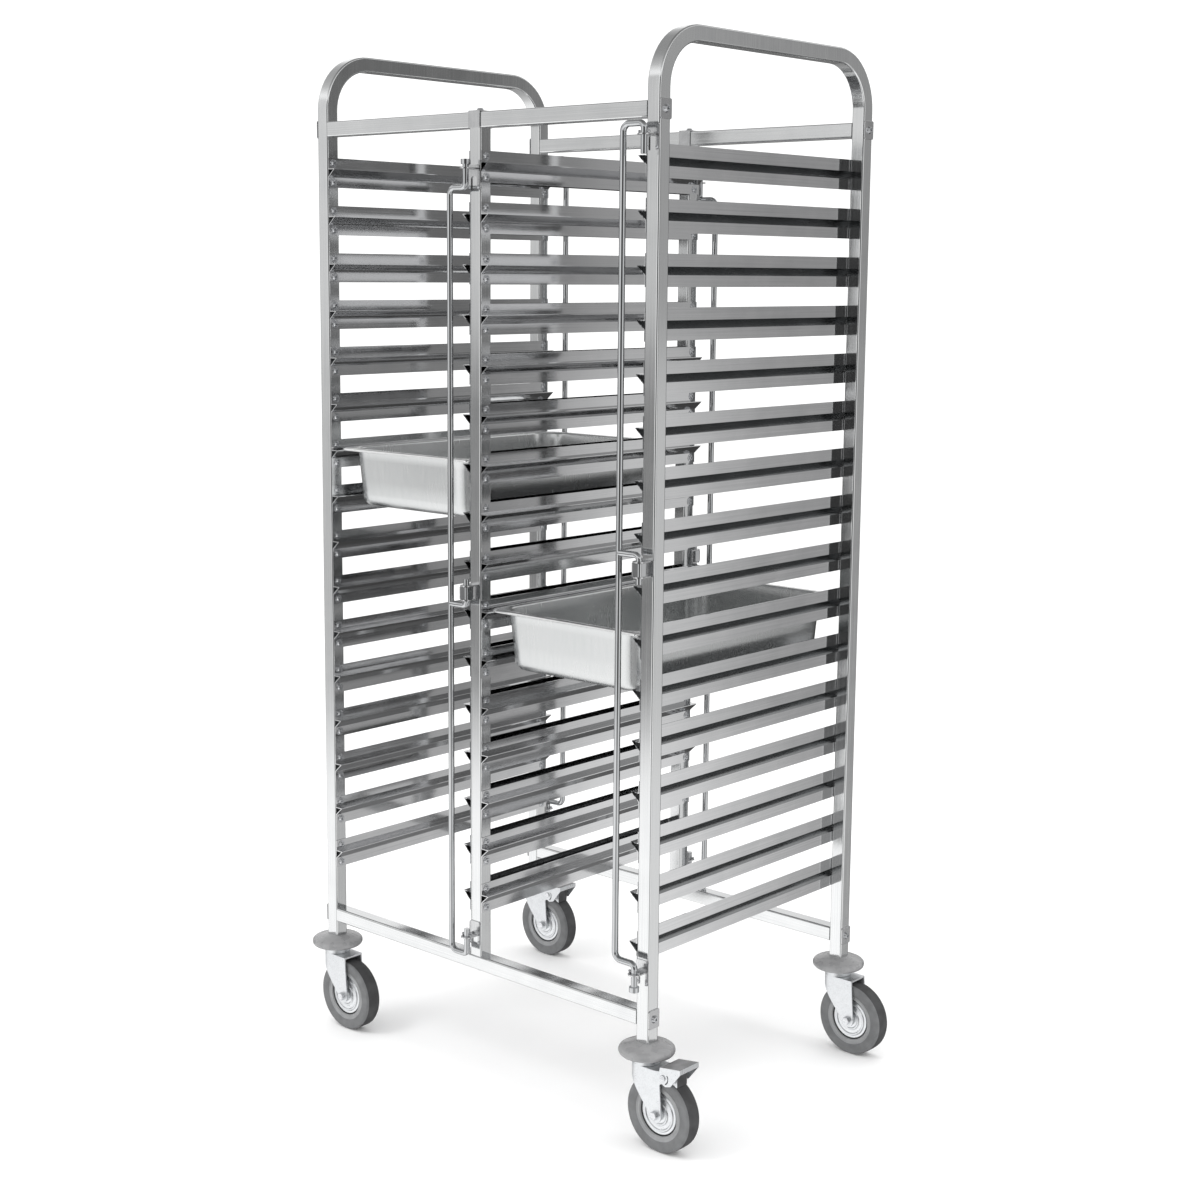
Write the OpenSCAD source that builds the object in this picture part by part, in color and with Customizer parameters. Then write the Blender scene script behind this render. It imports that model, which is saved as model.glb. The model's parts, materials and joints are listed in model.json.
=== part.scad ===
// Two-bay sheet pan rack on castors: two bent side frames, a centre ladder,
// sixteen levels of pressed runners in each bay, and a swinging retaining bar
// at the front and the rear of each bay.
// Frame: +X to the right, -Y to the front, +Z up, origin on the floor under
// the middle of the outline. All sizes are in millimetres.

/* [Frame] */
// Width over the outer faces of the side frames
rack_w = 760; // [756:1:764]
// Depth over the outer faces of the posts
rack_d = 550; // [540:1:560]
// Height from the floor to the top of the side hoops
rack_h = 1720; // [1700:1:1760]
// Side of the square tube
tube = 25; // [24:0.5:26]
// Wall of the square tube
tube_wall = 1.5; // [1:0.1:2]
// Outer corner radius of the square tube
tube_r = 3; // [2:0.5:4]
// Outer radius of the two bends at the top of a side hoop
hoop_r = 95; // [80:1:110]
// Height of the lower end of the corner posts
post_foot_z = 168; // [165:1:172]
// Height of the underside of the bottom rails
low_rail_z = 195; // [190:1:200]
// Height of the underside of the top rails
top_rail_z = 1581; // [1575:1:1590]

/* [Runners] */
// Number of levels in each bay
levels = 16; // [12:1:16]
// Distance from one level to the next
pitch = 80; // [76:1:80]
// Height of the lowest ledge
low_ledge_z = 328; // [320:1:336]
// Thickness of the runner sheet
sheet = 1.2; // [1:0.1:1.5]
// Distance that a ledge stands out of the post
ledge_w = 16; // [14:0.5:16]
// Height of the flange above a ledge
upper_flange = 18; // [16:0.5:20]
// Height of the sloping side of the ridge
ridge_h = 14.5; // [12:0.5:16]
// Height of the flange below the ridge
lower_flange = 17; // [16:0.5:20]

/* [Retaining bars] */
// Diameter of the rod that the bars are bent from
rod_d = 10; // [8:0.5:10]
// Radius of the upright rod's bends, to the centreline
rod_bend_r = 12; // [11:0.5:14]
// Radius of the bends between the arms and their pins
elbow_r = 8; // [7:0.5:9]
// Distance from a post's face to the bar's pivot line
pivot_out = 20; // [19:0.5:22]
// Reach of the outer bars, from the pivot line to the upright rod
outer_reach = 40; // [38:1:44]
// Reach of the centre bars
centre_reach = 36; // [34:1:40]
// Heights of the outer bars' arms: bottom, middle and top
outer_arm_z = [302, 940, 1572];
// Heights of the centre bars' arms: bottom, middle and top
centre_arm_z = [228, 819, 1488];

/* [Castors] */
// Diameter of the wheels
wheel_d = 125; // [122:1:125]
// Width of the tyres
tyre_w = 30; // [28:1:32]
// Distance that an axle trails behind its swivel line
trail = 35; // [32:1:38]
// Diameter of the round bumpers
bumper_d = 90; // [80:1:96]

/* [Pans] */
// Length of a pan over its rim
pan_l = 530; // [525:1:532]
// Width of a pan over its rim
pan_w = 325; // [320:1:326]
// Depth of a pan
pan_h = 100; // [65:5:100]
// Level of the left bay's pan, counted down from the top
left_pan_level = 7; // [2:1:11]
// Level of the right bay's pan, counted down from the top
right_pan_level = 10; // [2:1:11]

/* [Hidden] */
$fn = 48;

// Lines of the posts and rails
post_x = rack_w / 2 - tube / 2;
post_y = rack_d / 2 - tube / 2;
face_y = rack_d / 2;
rail_l = rack_w - 2 * tube;
centre_post_z = low_rail_z + tube;
centre_post_l = top_rail_z - centre_post_z;
hoop_bend_r = hoop_r - tube / 2;
bay_x = (rack_w - tube) / 4;
bore = tube - 2 * tube_wall;
origin_x = (bumper_d - wheel_d) / 4 - trail / 2;

// Joints of the frame
bolt_r = 4;
bolt_gap = 0.1;
bolt_head_r = 6.5;
bolt_head_h = 4;
socket_r = 2.6;
socket_depth = 2.5;
saddle_t = 2;
saddle_h = 30;
plug_l = 30;
plug_gap = 0.2;
joint_z = [low_rail_z + tube / 2, top_rail_z + tube / 2];

// Runners stop a little short of the posts' outer faces
runner_l = rack_d - 2;

// Runner fasteners
screw_flange_r = 7;
screw_flange_t = 0.8;
screw_head_r = 5.4;
screw_top_r = 3.8;
screw_head_h = 3;
screw_socket_r = 2.2;

// Bar hardware
rod_r = rod_d / 2;
running_gap = 0.05;
bracket_t = 2;
bracket_w = 25;
leg_w = 6;
cutout_h = 28;
cutout_up = 8;
ear_r = 10;
clip_h = 20;
clip_side = 18;
clip_gap = 0.5;
cap_r = 8;
cap_h = 8;
rivet_r = 2.6;
rivet_h = 1.6;
rivet_up = 5;
cross_pin_r = 1.5;
cross_pin_l = 18;
cross_pin_ball_r = 2.4;
pin_l = 44;
outer_ear_drop = 16;
centre_ear_rise = 30;

// How far each ear bracket's plate reaches below and above its ear
outer_plate = [22, 18];
centre_low_plate = [18, 22];
centre_high_plate = [34, 6];

// Heights of the parts round the pins
pin_over_ear = bracket_t / 2 + cross_pin_ball_r + 0.1;
clip_off = elbow_r + 1 + bracket_t + clip_gap + clip_h / 2;
outer_clip_z = outer_arm_z[1] - clip_off;
centre_clip_z = centre_arm_z[1] + clip_off;
outer_pin_z = [for (end = [0, 2]) outer_arm_z[end] - outer_ear_drop + pin_over_ear];
centre_pin_z = [centre_arm_z[0] + centre_ear_rise + pin_over_ear];
outer_cap_z = outer_arm_z[0] - pin_l + cap_h / 2;
centre_cap_z = centre_arm_z[2] + pin_l - cap_h / 2;

// Castor heights, from the floor up
axle_z = wheel_d / 2;
fork_top_z = 135;
fork_t = 3;
race_top_z = 142;
bumper_z = 148;
bumper_edge_r = 7;
leg_t = 2.5;
leg_in = 18;
axle_r = 4;
king_r = 6;
race_r = 22;
nose_x = -3;
fork_rear_x = 42;
pedal_pivot = [52, 129];
pedal_pin_r = 3;
lobe_r = 9;
cheek_t = 2;
cheek_gap = 0.5;
tyre_seat_r = 35;
tyre_gap = 0.4;

// The rack's own middle is set back from the origin, because every castor
// trails to the right and the origin is under the middle of the whole outline
module placed() {
  translate([origin_x, 0, 0])
    children();
}

// A tube's section, with round outer and inner corners
module rounded_square(side, r) {
  square([side - 2 * r, side], center = true);
  square([side, side - 2 * r], center = true);
  for (sx = [-1, 1], sy = [-1, 1])
    translate([sx * (side / 2 - r), sy * (side / 2 - r)])
      circle(r = r);
}

module rounded_rect(w, h, r) {
  square([w - 2 * r, h], center = true);
  square([w, h - 2 * r], center = true);
  for (sx = [-1, 1], sy = [-1, 1])
    translate([sx * (w / 2 - r), sy * (h / 2 - r)])
      circle(r = r);
}

module tube_section() {
  difference() {
    rounded_square(tube, tube_r);
    rounded_square(bore, tube_r - tube_wall);
  }
}

// One bent side frame: two posts, two bends and the handle across the top
module hoop(side) {
  straight_top = rack_h - hoop_r;
  handle_l = rack_d - 2 * hoop_r;
  translate([side * post_x, 0, 0])
    difference() {
      union() {
        for (sy = [-1, 1])
          translate([0, sy * post_y, post_foot_z])
            linear_extrude(straight_top - post_foot_z)
              tube_section();
        for (sy = [0, 1])
          mirror([0, sy, 0])
            translate([0, handle_l / 2, straight_top])
              rotate([90, 0, 90])
                rotate_extrude(angle = 90)
                  translate([hoop_bend_r, 0])
                    tube_section();
        translate([0, handle_l / 2, rack_h - tube / 2])
          rotate([90, 0, 0])
            linear_extrude(handle_l)
              tube_section();
      }
      for (sy = [-1, 1], z = joint_z)
        translate([0, sy * post_y, z])
          rotate([0, 90, 0])
            cylinder(r = bolt_r + bolt_gap, h = 2 * tube, center = true);
    }
}

module right_hoop() {
  color("silver") placed()
    hoop(1);
}

module left_hoop() {
  color("silver") placed()
    hoop(-1);
}

// Rail along X between the side frames, with its centre bolt hole
module rail(side, z) {
  translate([0, side * post_y, z + tube / 2])
    difference() {
      rotate([90, 0, 90])
        linear_extrude(rail_l, center = true)
          tube_section();
      cylinder(r = bolt_r + bolt_gap, h = 2 * tube, center = true);
    }
}

module front_top_rail() {
  color("silver") placed()
    rail(-1, top_rail_z);
}

module rear_top_rail() {
  color("silver") placed()
    rail(1, top_rail_z);
}

module front_bottom_rail() {
  color("silver") placed()
    rail(-1, low_rail_z);
}

module rear_bottom_rail() {
  color("silver") placed()
    rail(1, low_rail_z);
}

module centre_post(side) {
  translate([0, side * post_y, centre_post_z])
    linear_extrude(centre_post_l)
      tube_section();
}

module front_centre_post() {
  color("gainsboro") placed()
    centre_post(-1);
}

module rear_centre_post() {
  color("gainsboro") placed()
    centre_post(1);
}

// Plates that spread the corner bolts' load on the posts' outer faces
module corner_saddles() {
  color("darkgray") placed()
    for (sx = [-1, 1], sy = [-1, 1], z = joint_z)
      translate([sx * (rack_w / 2 + saddle_t / 2), sy * post_y, z])
        rotate([0, 90, 0])
          difference() {
            linear_extrude(saddle_t, center = true)
              rounded_rect(saddle_h, tube, 3);
            cylinder(r = bolt_r + bolt_gap, h = 2 * saddle_t, center = true);
          }
}

// U-shaped saddles over the top rails, above the centre posts
module centre_saddles() {
  outer = tube + 2 * saddle_t;
  color("darkgray") placed()
    for (sy = [-1, 1])
      translate([0, sy * post_y, top_rail_z + tube / 2])
        difference() {
          translate([0, 0, saddle_t / 2])
            cube([tube, outer, tube + saddle_t], center = true);
          cube([2 * tube, tube, tube], center = true);
          cylinder(r = bolt_r + bolt_gap, h = 2 * tube);
        }
}

// Button-head socket bolt, its head's seat at z = 0 and its shank going down
module frame_bolt(shank_l) {
  difference() {
    union() {
      cylinder(r1 = bolt_head_r, r2 = bolt_head_r - 2, h = bolt_head_h);
      translate([0, 0, -shank_l])
        cylinder(r = bolt_r, h = shank_l + 1);
    }
    translate([0, 0, bolt_head_h - socket_depth])
      cylinder(r = socket_r, h = socket_depth + 1, $fn = 6);
  }
}

module frame_bolts() {
  corner_l = saddle_t + tube + plug_l - 8;
  centre_l = tube + plug_l - 8;
  color("whitesmoke") placed() {
    for (sx = [-1, 1], sy = [-1, 1], z = joint_z)
      translate([sx * (rack_w / 2 + saddle_t), sy * post_y, z])
        rotate([0, sx * 90, 0])
          frame_bolt(corner_l);
    for (sy = [-1, 1]) {
      translate([0, sy * post_y, top_rail_z + tube + saddle_t])
        frame_bolt(centre_l + saddle_t);
      translate([0, sy * post_y, low_rail_z])
        mirror([0, 0, 1])
          frame_bolt(centre_l);
    }
  }
}

// Threaded plug that fills a tube's end, along Z from its outer end down
module tube_plug() {
  translate([0, 0, -plug_l])
    linear_extrude(plug_l)
      difference() {
        rounded_square(bore - 2 * plug_gap, 1.2);
        circle(r = bolt_r + bolt_gap);
      }
}

module tube_plugs() {
  color("dimgray") placed() {
    for (sx = [-1, 1], sy = [-1, 1], z = joint_z)
      translate([sx * rail_l / 2, sy * post_y, z])
        rotate([0, sx * 90, 0])
          tube_plug();
    for (sy = [-1, 1]) {
      translate([0, sy * post_y, top_rail_z])
        tube_plug();
      translate([0, sy * post_y, centre_post_z])
        mirror([0, 0, 1])
          tube_plug();
    }
  }
}

// Section of a runner: x runs from the post into the bay, y is up, and the
// top of the ledge is at y = 0
module runner_section() {
  run = ledge_w - sheet;
  drop = ridge_h - sheet;
  slope_l = norm([run, drop]);
  back_x = ledge_w - sheet * slope_l / drop;
  back_y = -sheet - back_x * drop / run;
  low_y = -ridge_h - lower_flange;
  polygon([
    [0, upper_flange], [sheet, upper_flange], [sheet, 0], [ledge_w, 0],
    [ledge_w, -sheet], [sheet, -ridge_h], [sheet, low_y], [0, low_y],
    [0, back_y], [back_x, -sheet], [0, -sheet],
  ]);
}

// A ladder of runners on the post face at x, standing out towards the bay
module runners(x, towards) {
  for (i = [0:levels - 1])
    translate([x, 0, low_ledge_z + i * pitch])
      scale_x(towards)
        rotate([90, 0, 0])
          linear_extrude(runner_l, center = true)
            runner_section();
}

module scale_x(towards) {
  mirror([towards < 0 ? 1 : 0, 0, 0])
    children();
}

module left_outer_runners() {
  color("lightgray") placed()
    runners(-rack_w / 2 + tube, 1);
}

module left_centre_runners() {
  color("gainsboro") placed()
    runners(-tube / 2, -1);
}

module right_centre_runners() {
  color("lightgray") placed()
    runners(tube / 2, 1);
}

module right_outer_runners() {
  color("gainsboro") placed()
    runners(rack_w / 2 - tube, -1);
}

// Head of one runner fastener, its seat at x = 0 and its top towards +X
module screw_head() {
  rotate([0, 90, 0])
    difference() {
      union() {
        cylinder(r = screw_flange_r, h = screw_flange_t);
        cylinder(r1 = screw_head_r, r2 = screw_top_r, h = screw_head_h);
      }
      translate([0, 0, screw_head_h / 3])
        cylinder(r = screw_socket_r, h = screw_head_h, $fn = 6);
    }
}

// Two fasteners at each end of each runner of one ladder
module screws(x, towards) {
  heights = [upper_flange / 2, -ridge_h - lower_flange / 2];
  for (i = [0:levels - 1], sy = [-1, 1], h = heights)
    translate([x, sy * post_y, low_ledge_z + i * pitch + h])
      scale_x(towards)
        translate([sheet, 0, 0])
          screw_head();
}

module left_outer_screws() {
  color("white") placed()
    screws(-rack_w / 2 + tube, 1);
}

module left_centre_screws() {
  color("white") placed()
    screws(-tube / 2, -1);
}

module right_centre_screws() {
  color("white") placed()
    screws(tube / 2, 1);
}

module right_outer_screws() {
  color("white") placed()
    screws(rack_w / 2 - tube, -1);
}

// Bars, brackets and fittings are drawn around their own pivot line: the
// post's face is at y = pivot_out and the bay is towards -X.
module at_front_right() {
  translate([post_x, -face_y - pivot_out, 0])
    children();
}

module at_front_centre() {
  translate([0, -face_y - pivot_out, 0])
    children();
}

module at_rear_left() {
  rotate([0, 0, 180])
    at_front_right()
      children();
}

module at_rear_centre() {
  rotate([0, 0, 180])
    at_front_centre()
      children();
}

// Quarter bend of rod in the XZ plane, from the angle start to start + 90
module rod_bend(x, z, r, start) {
  translate([x, 0, z])
    rotate([90, 0, 0])
      rotate([0, 0, start])
        rotate_extrude(angle = 90)
          translate([r, 0])
            circle(r = rod_r);
}

// Straight rod between two heights at x
module upright(x, z_low, z_high) {
  translate([x, 0, z_low])
    cylinder(r = rod_r, h = z_high - z_low);
}

module arm(x_low, x_high, z) {
  translate([x_low, 0, z])
    rotate([0, 90, 0])
      cylinder(r = rod_r, h = x_high - x_low);
}

// Retaining bar: an upright rod with three arms whose ends turn down (-1) or
// up (1) into their brackets, drilled for its cross pins
module bar(reach, arm_z, turn, pin_z) {
  b = rod_bend_r;
  e = elbow_r;
  difference() {
    union() {
      upright(-reach, arm_z[0] + b, arm_z[2] - b);
      rod_bend(-reach + b, arm_z[0] + b, b, 180);
      rod_bend(-reach + b, arm_z[2] - b, b, 90);
      arm(-reach, -e, arm_z[1]);
      for (end = [0, 2])
        arm(-reach + b, -e, arm_z[end]);
      for (z = arm_z) {
        rod_bend(-e, z + turn * e, e, turn < 0 ? 0 : 270);
        upright(0, min(z + turn * e, z + turn * pin_l), max(z + turn * e, z + turn * pin_l));
      }
    }
    for (z = pin_z)
      cross_pin_shank(z);
  }
}

module cross_pin_shank(z) {
  translate([0, 0, z])
    rotate([0, 90, 0])
      cylinder(r = cross_pin_r, h = cross_pin_l, center = true);
}

// Square block round the middle pin, cap at the end of one pin, and the
// ball-ended cross pins that carry the bar on its ears
module bar_fittings(cap_z, pin_z, clip_z) {
  difference() {
    union() {
      translate([0, 0, clip_z - clip_h / 2])
        linear_extrude(clip_h)
          rounded_square(clip_side, 4);
      translate([0, 0, cap_z - cap_h / 2])
        cylinder(r = cap_r, h = cap_h);
    }
    upright(0, clip_z - clip_h, clip_z + clip_h);
    upright(0, cap_z - cap_h, cap_z + cap_h);
  }
  for (z = pin_z) {
    cross_pin_shank(z);
    for (sx = [-1, 1])
      translate([sx * cross_pin_l / 2, 0, z])
        sphere(r = cross_pin_ball_r);
  }
}

// Bracket with one ear: a plate on the post's face, cut out between two legs
module ear_bracket(ear_z, plate) {
  plate_low = ear_z - plate[0];
  plate_high = ear_z + plate[1];
  plate_mid = (plate_low + plate_high) / 2;
  plate_y = pivot_out - bracket_t / 2;
  difference() {
    translate([0, plate_y, plate_mid])
      rotate([90, 0, 0])
        linear_extrude(bracket_t, center = true)
          rounded_rect(bracket_w, plate_high - plate_low, 4);
    translate([0, plate_y, plate_low + cutout_up])
      rotate([90, 0, 0])
        linear_extrude(2 * bracket_t, center = true)
          rounded_rect(bracket_w - 2 * leg_w, cutout_h, 4);
  }
  ear(ear_z);
}

module ear(z) {
  translate([0, 0, z - bracket_t / 2])
    linear_extrude(bracket_t)
      difference() {
        union() {
          circle(r = ear_r);
          translate([-ear_r, 0])
            square([2 * ear_r, pivot_out - bracket_t]);
        }
        circle(r = rod_r + running_gap);
      }
}

// C-shaped clip: a plate with an ear above and an ear below the square block
module clip_bracket(clip_z) {
  ear_off = clip_h / 2 + clip_gap + bracket_t / 2;
  translate([0, pivot_out - bracket_t / 2, clip_z])
    rotate([90, 0, 0])
      linear_extrude(bracket_t, center = true)
        rounded_rect(bracket_w, 2 * ear_off + bracket_t, 3);
  for (s = [-1, 1])
    ear(clip_z + s * ear_off);
}

// Rivet heads on the two legs of a bracket whose plate starts at plate_low
module rivet_pair(plate_low) {
  for (sx = [-1, 1])
    translate([sx * (bracket_w - leg_w) / 2, pivot_out - bracket_t, plate_low + rivet_up])
      rotate([90, 0, 0])
        cylinder(r1 = rivet_r, r2 = rivet_r - 1, h = rivet_h);
}

module bracket_rivets() {
  outer_low = [for (end = [0, 2]) outer_arm_z[end] - outer_ear_drop - outer_plate[0]];
  centre_low = [
    centre_arm_z[0] + centre_ear_rise - centre_low_plate[0],
    centre_arm_z[2] + centre_ear_rise - centre_high_plate[0],
  ];
  color("gainsboro") placed() {
    for (z = outer_low) {
      at_front_right()
        rivet_pair(z);
      at_rear_left()
        rivet_pair(z);
    }
    for (z = centre_low) {
      at_front_centre()
        rivet_pair(z);
      at_rear_centre()
        rivet_pair(z);
    }
  }
}

module outer_brackets() {
  for (end = [0, 2])
    ear_bracket(outer_arm_z[end] - outer_ear_drop, outer_plate);
  clip_bracket(outer_clip_z);
}

module centre_brackets() {
  ear_bracket(centre_arm_z[0] + centre_ear_rise, centre_low_plate);
  ear_bracket(centre_arm_z[2] + centre_ear_rise, centre_high_plate);
  clip_bracket(centre_clip_z);
}

module front_right_brackets() {
  color("silver") placed()
    at_front_right()
      outer_brackets();
}

module front_centre_brackets() {
  color("silver") placed()
    at_front_centre()
      centre_brackets();
}

module rear_left_brackets() {
  color("silver") placed()
    at_rear_left()
      outer_brackets();
}

module rear_centre_brackets() {
  color("silver") placed()
    at_rear_centre()
      centre_brackets();
}

module front_right_bar() {
  color("whitesmoke") placed()
    at_front_right()
      bar(outer_reach, outer_arm_z, -1, outer_pin_z);
}

module front_centre_bar() {
  color("whitesmoke") placed()
    at_front_centre()
      bar(centre_reach, centre_arm_z, 1, centre_pin_z);
}

module rear_left_bar() {
  color("whitesmoke") placed()
    at_rear_left()
      bar(outer_reach, outer_arm_z, -1, outer_pin_z);
}

module rear_centre_bar() {
  color("whitesmoke") placed()
    at_rear_centre()
      bar(centre_reach, centre_arm_z, 1, centre_pin_z);
}

module outer_fittings() {
  bar_fittings(outer_cap_z, outer_pin_z, outer_clip_z);
}

module centre_fittings() {
  bar_fittings(centre_cap_z, centre_pin_z, centre_clip_z);
}

module front_right_bar_fittings() {
  color("gainsboro") placed()
    at_front_right()
      outer_fittings();
}

module front_centre_bar_fittings() {
  color("gainsboro") placed()
    at_front_centre()
      centre_fittings();
}

module rear_left_bar_fittings() {
  color("gainsboro") placed()
    at_rear_left()
      outer_fittings();
}

module rear_centre_bar_fittings() {
  color("gainsboro") placed()
    at_rear_centre()
      centre_fittings();
}

// Everything fixed to the posts' feet repeats at the four corners
module at_each_corner() {
  for (sx = [-1, 1], sy = [-1, 1])
    translate([sx * post_x, sy * post_y, 0])
      children();
}

// Square plug in the post, shank, top disc and kingpin with its riveted end
module castor_stems() {
  plug_h = 30;
  head_h = 3.5;
  king_head_z = fork_top_z - fork_t - 4;
  color("lightsteelblue") placed()
    at_each_corner() {
      translate([0, 0, post_foot_z])
        linear_extrude(plug_h)
          rounded_square(bore - 2 * plug_gap, 1.2);
      translate([0, 0, king_head_z + 1])
        cylinder(r = king_r, h = post_foot_z - king_head_z);
      translate([0, 0, race_top_z])
        cylinder(r = race_r + 2, h = bumper_z - race_top_z);
      translate([0, 0, king_head_z])
        cylinder(r = king_r + 4, h = head_h);
    }
}

// Lens-shaped bumper with a full round rim
module bumpers() {
  rim_x = bumper_d / 2 - bumper_edge_r;
  rim_y = bumper_z + bumper_edge_r;
  crown_r = 20;
  color("gray") placed()
    at_each_corner()
      rotate_extrude()
        difference() {
          union() {
            translate([rim_x, rim_y])
              circle(r = bumper_edge_r);
            polygon([
              [0, bumper_z], [rim_x, bumper_z], [rim_x, bumper_z + 2 * bumper_edge_r],
              [crown_r, post_foot_z], [0, post_foot_z],
            ]);
          }
          translate([-1, bumper_z - 1])
            square([king_r + 1.1, 2 * tube]);
        }
}

// Ball race between the fork and the disc above it
module swivel_races() {
  color("slategray") placed()
    at_each_corner()
      translate([0, 0, fork_top_z + 0.3])
        difference() {
          cylinder(r = race_r, h = race_top_z - fork_top_z - 0.3);
          translate([0, 0, -1])
            cylinder(r = king_r + 2, h = 10);
        }
}

// Castor pieces are drawn around their own swivel line, trailing towards +X
module corner(sx, sy) {
  translate([sx * post_x, sy * post_y, 0])
    children();
}

// Side view of a fork, x along the trail and y up
module fork_side(braked) {
  boss_r = 12;
  difference() {
    union() {
      polygon([
        [nose_x - 2 * leg_in, fork_top_z], [fork_rear_x, fork_top_z], [trail + boss_r, axle_z],
        [trail - boss_r, axle_z], [2, 88], [-20, 118], [nose_x - 2 * leg_in, 118],
      ]);
      translate([trail, axle_z])
        circle(r = boss_r);
      if (braked) {
        polygon([
          [30, fork_top_z], [pedal_pivot[0], pedal_pivot[1] + lobe_r],
          [pedal_pivot[0], pedal_pivot[1] - lobe_r], [38, 112],
        ]);
        translate(pedal_pivot)
          circle(r = lobe_r);
      }
    }
    translate([trail, axle_z])
      circle(r = axle_r + running_gap);
    if (braked)
      translate(pedal_pivot)
        circle(r = pedal_pin_r + running_gap);
  }
}

// Fork seen from above, wrapped round the wheel's leading side
module fork_plan(inset) {
  r = leg_in + leg_t - inset;
  translate([nose_x, 0])
    circle(r = r);
  translate([nose_x, -r])
    square([4 * tube, 2 * r]);
}

module fork(braked) {
  difference() {
    union() {
      intersection() {
        rotate([90, 0, 0])
          linear_extrude(4 * tube, center = true)
            fork_side(braked);
        linear_extrude(2 * fork_top_z)
          difference() {
            fork_plan(0);
            fork_plan(leg_t);
          }
      }
      translate([0, 0, fork_top_z - fork_t])
        linear_extrude(fork_t)
          intersection() {
            fork_plan(0);
            translate([-2 * tube, -2 * tube])
              square([2 * tube + fork_rear_x, 4 * tube]);
          }
    }
    translate([0, 0, fork_top_z - 2 * fork_t])
      cylinder(r = king_r + running_gap, h = 4 * fork_t);
  }
}

module front_right_fork() {
  color("aliceblue") placed()
    corner(1, -1)
      fork(true);
}

module front_left_fork() {
  color("aliceblue") placed()
    corner(-1, -1)
      fork(false);
}

module rear_right_fork() {
  color("aliceblue") placed()
    corner(1, 1)
      fork(false);
}

module rear_left_fork() {
  color("aliceblue") placed()
    corner(-1, 1)
      fork(true);
}

// Axle bolt with a hexagonal head at the rear and a nut at the front
module axle() {
  reach = leg_in + leg_t;
  translate([trail, 0, axle_z])
    rotate([90, 0, 0]) {
      cylinder(r = axle_r, h = 2 * reach + 10, center = true);
      for (s = [-1, 1])
        translate([0, 0, s * (reach + 3)])
          cylinder(r = 7.2, h = 6, center = true, $fn = 6);
    }
}

module front_right_axle() {
  color("lightgray") placed()
    corner(1, -1)
      axle();
}

module front_left_axle() {
  color("lightgray") placed()
    corner(-1, -1)
      axle();
}

module rear_right_axle() {
  color("lightgray") placed()
    corner(1, 1)
      axle();
}

module rear_left_axle() {
  color("lightgray") placed()
    corner(-1, 1)
      axle();
}

// Pressed hub: a centre boss, a dished web with raised rings, and a rim that
// carries the tyre
module hub() {
  half_boss = leg_in - 0.5;
  half_rim = 10;
  translate([trail, 0, axle_z])
    rotate([90, 0, 0])
      rotate_extrude()
        polygon([
          [axle_r + running_gap, -half_boss], [9.5, -half_boss], [11, -13], [15, -12],
          [16.5, -13], [18.5, -13], [20, -11.5], [25, -11], [26.5, -12], [28.5, -12],
          [30, -half_rim], [tyre_seat_r, -half_rim],
          [tyre_seat_r, half_rim], [30, half_rim], [28.5, 12], [26.5, 12],
          [25, 11], [20, 11.5], [18.5, 13], [16.5, 13], [15, 12], [11, 13],
          [9.5, half_boss], [axle_r + running_gap, half_boss],
        ]);
}

module front_right_hub() {
  color("whitesmoke") placed()
    corner(1, -1)
      hub();
}

module front_left_hub() {
  color("whitesmoke") placed()
    corner(-1, -1)
      hub();
}

module rear_right_hub() {
  color("whitesmoke") placed()
    corner(1, 1)
      hub();
}

module rear_left_hub() {
  color("whitesmoke") placed()
    corner(-1, 1)
      hub();
}

// Rubber tyre with a raised bead round the hub and rounded shoulders
module tyre() {
  shoulder_r = 5;
  half_w = tyre_w / 2;
  half_seat = 10;
  bead_r = tyre_seat_r + 8;
  translate([trail, 0, axle_z])
    rotate([90, 0, 0])
      rotate_extrude($fn = 96) {
        for (s = [-1, 1])
          translate([axle_z - shoulder_r, s * (half_w - shoulder_r)])
            circle(r = shoulder_r, $fn = 32);
        polygon([
          [tyre_seat_r, -half_seat], [tyre_seat_r + 2, -13.5], [bead_r, -12.5],
          [bead_r + 2, -half_w + 0.5], [axle_z - shoulder_r, -half_w],
          [axle_z - shoulder_r, half_w], [bead_r + 2, half_w - 0.5],
          [bead_r, 12.5], [tyre_seat_r + 2, 13.5], [tyre_seat_r, half_seat],
        ]);
        translate([axle_z - 2 * shoulder_r, -half_w + shoulder_r])
          square([2 * shoulder_r, tyre_w - 2 * shoulder_r]);
      }
}

module front_right_tyre() {
  color("dimgray") placed()
    corner(1, -1)
      tyre();
}

module front_left_tyre() {
  color("dimgray") placed()
    corner(-1, -1)
      tyre();
}

module rear_right_tyre() {
  color("dimgray") placed()
    corner(1, 1)
      tyre();
}

module rear_left_tyre() {
  color("dimgray") placed()
    corner(-1, 1)
      tyre();
}

// Side view of a pedal's cheek, from its pivot, with a curved slot past the
// end of the fork
module cheek_side() {
  slot_r = lobe_r + 2;
  difference() {
    union() {
      circle(r = lobe_r + 1);
      polygon([
        [-9, 3], [-6, 16], [34, 22], [34, 14], [15, -10], [5, -13], [-6, -8],
      ]);
    }
    circle(r = pedal_pin_r);
    difference() {
      intersection() {
        circle(r = slot_r);
        translate([lobe_r / 2, -lobe_r])
          square([2 * lobe_r, 2 * lobe_r - 3]);
      }
      circle(r = lobe_r);
    }
  }
}

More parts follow.
